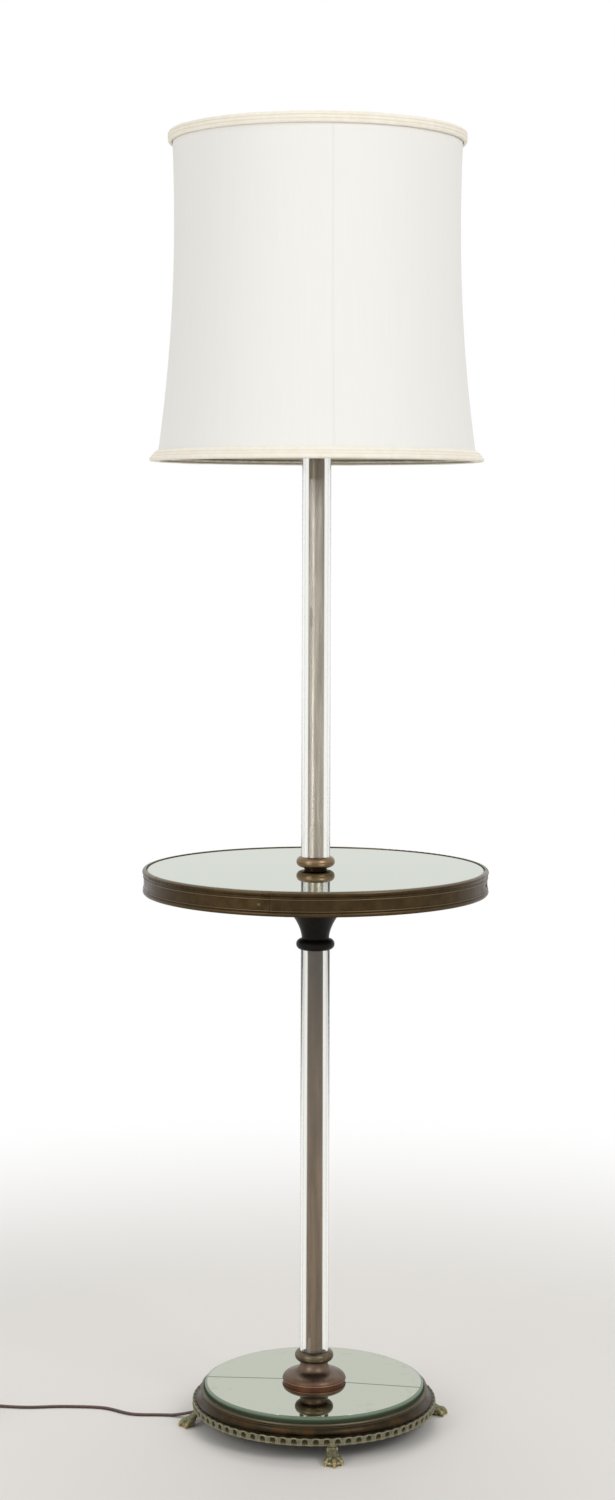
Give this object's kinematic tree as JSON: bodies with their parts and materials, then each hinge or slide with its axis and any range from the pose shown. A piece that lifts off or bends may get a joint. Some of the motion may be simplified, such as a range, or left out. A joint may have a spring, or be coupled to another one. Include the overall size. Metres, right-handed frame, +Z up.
{
  "type": "floor lamp with table",
  "caption": "Floor lamp with a round mirror table on a glass-clad column, footed mirror base and stretched fabric shade",
  "frame": {"origin": "on the floor, on the axis of the threaded pipe", "axes": "+Z up along the pipe, feet along X and Y, the lead leaves towards -X"},
  "size_m": [0.6735, 0.406, 1.51],
  "materials": {
    "feet_brass": "verdigris over worn brass",
    "pan_bronze": "dark bronze patina",
    "verdigris": "verdigris",
    "iron": "rough cast",
    "steel": "zinc plated",
    "felt": "felt",
    "base_mirror": "aged mirror, green edge",
    "table_mirror": "mirror",
    "cap_bronze": "satin brown bronze",
    "collar_brass": "worn brass",
    "band_bronze": "antique bronze",
    "black_metal": "black lacquer",
    "clear_glass": "clear",
    "nickel": "mottled nickel",
    "old_nickel": "tarnished nickel",
    "wood": "stained",
    "brass": "lacquered",
    "phenolic": "moulded phenolic",
    "fibre": "vulcanised fibre",
    "bulb_cap": "satin",
    "bulb_glass": "frosted",
    "frame_wire": "painted wire",
    "shade_fabric": "fine woven",
    "shade_lining": "satin lining",
    "shade_trim": "folded bias tape",
    "lead_brown": "satin",
    "paper_tie": "paper"
  },
  "bodies": {
    "root": {"claw_foot_1": "feet_brass", "claw_foot_2": "feet_brass", "claw_foot_3": "feet_brass", "claw_foot_4": "feet_brass", "foot_screws": "steel", "base_pan": "pan_bronze", "bead_gallery": "verdigris", "base_weight": "iron", "base_washer": "steel", "base_lock_nut": "steel", "mirror_pad": "felt", "base_mirror_front": "base_mirror", "base_mirror_back": "base_mirror", "base_cap": "cap_bronze", "base_collar": "cap_bronze", "lower_glass_tube": "clear_glass", "lower_stem": "old_nickel", "threaded_pipe": "steel", "under_table_ring": "black_metal", "table_trumpet": "black_metal", "table_board": "wood", "table_band": "band_bronze", "band_screws": "band_bronze", "table_mirror": "table_mirror", "table_collar": "collar_brass", "upper_glass_tube": "clear_glass", "upper_stem": "nickel", "column_cap": "collar_brass", "column_nut": "steel", "harp_saddle": "brass", "harp": "brass", "harp_sleeves": "brass", "harp_stud": "brass", "socket_cap": "brass", "socket_shell": "brass", "socket_liner": "fibre", "socket_body": "phenolic", "bulb_base": "bulb_cap", "bulb_glass": "bulb_glass", "inner_lead": "lead_brown", "cord_clip": "steel", "cord_bushing": "phenolic", "power_cord": "lead_brown", "cord_coil": "lead_brown", "coil_ties": "paper_tie", "plug_body": "phenolic", "plug_blades": "brass"},
    "shade": {"shade_top_frame": "frame_wire", "shade_bottom_ring": "frame_wire", "shade_ribs": "frame_wire", "shade_cover": "shade_fabric", "shade_liner": "shade_lining", "shade_trim_top": "shade_trim", "shade_trim_bottom": "shade_trim"},
    "finial": {"finial": "brass"},
    "switch": {"switch_knob": "phenolic"}
  },
  "joints": [
    {"name": "shade_swivel", "type": "hinge", "parent": "root", "child": "shade", "pos_m": [0, 0, 1.479], "axis": [0, 0, 1], "continuous": true},
    {"name": "finial_turn", "type": "hinge", "parent": "root", "child": "finial", "pos_m": [0, 0, 1.485], "axis": [0, 0, 1], "continuous": true},
    {"name": "switch_turn", "type": "hinge", "parent": "root", "child": "switch", "pos_m": [0, -0.02, 1.2726], "axis": [0, -1, 0], "continuous": true}
  ]
}
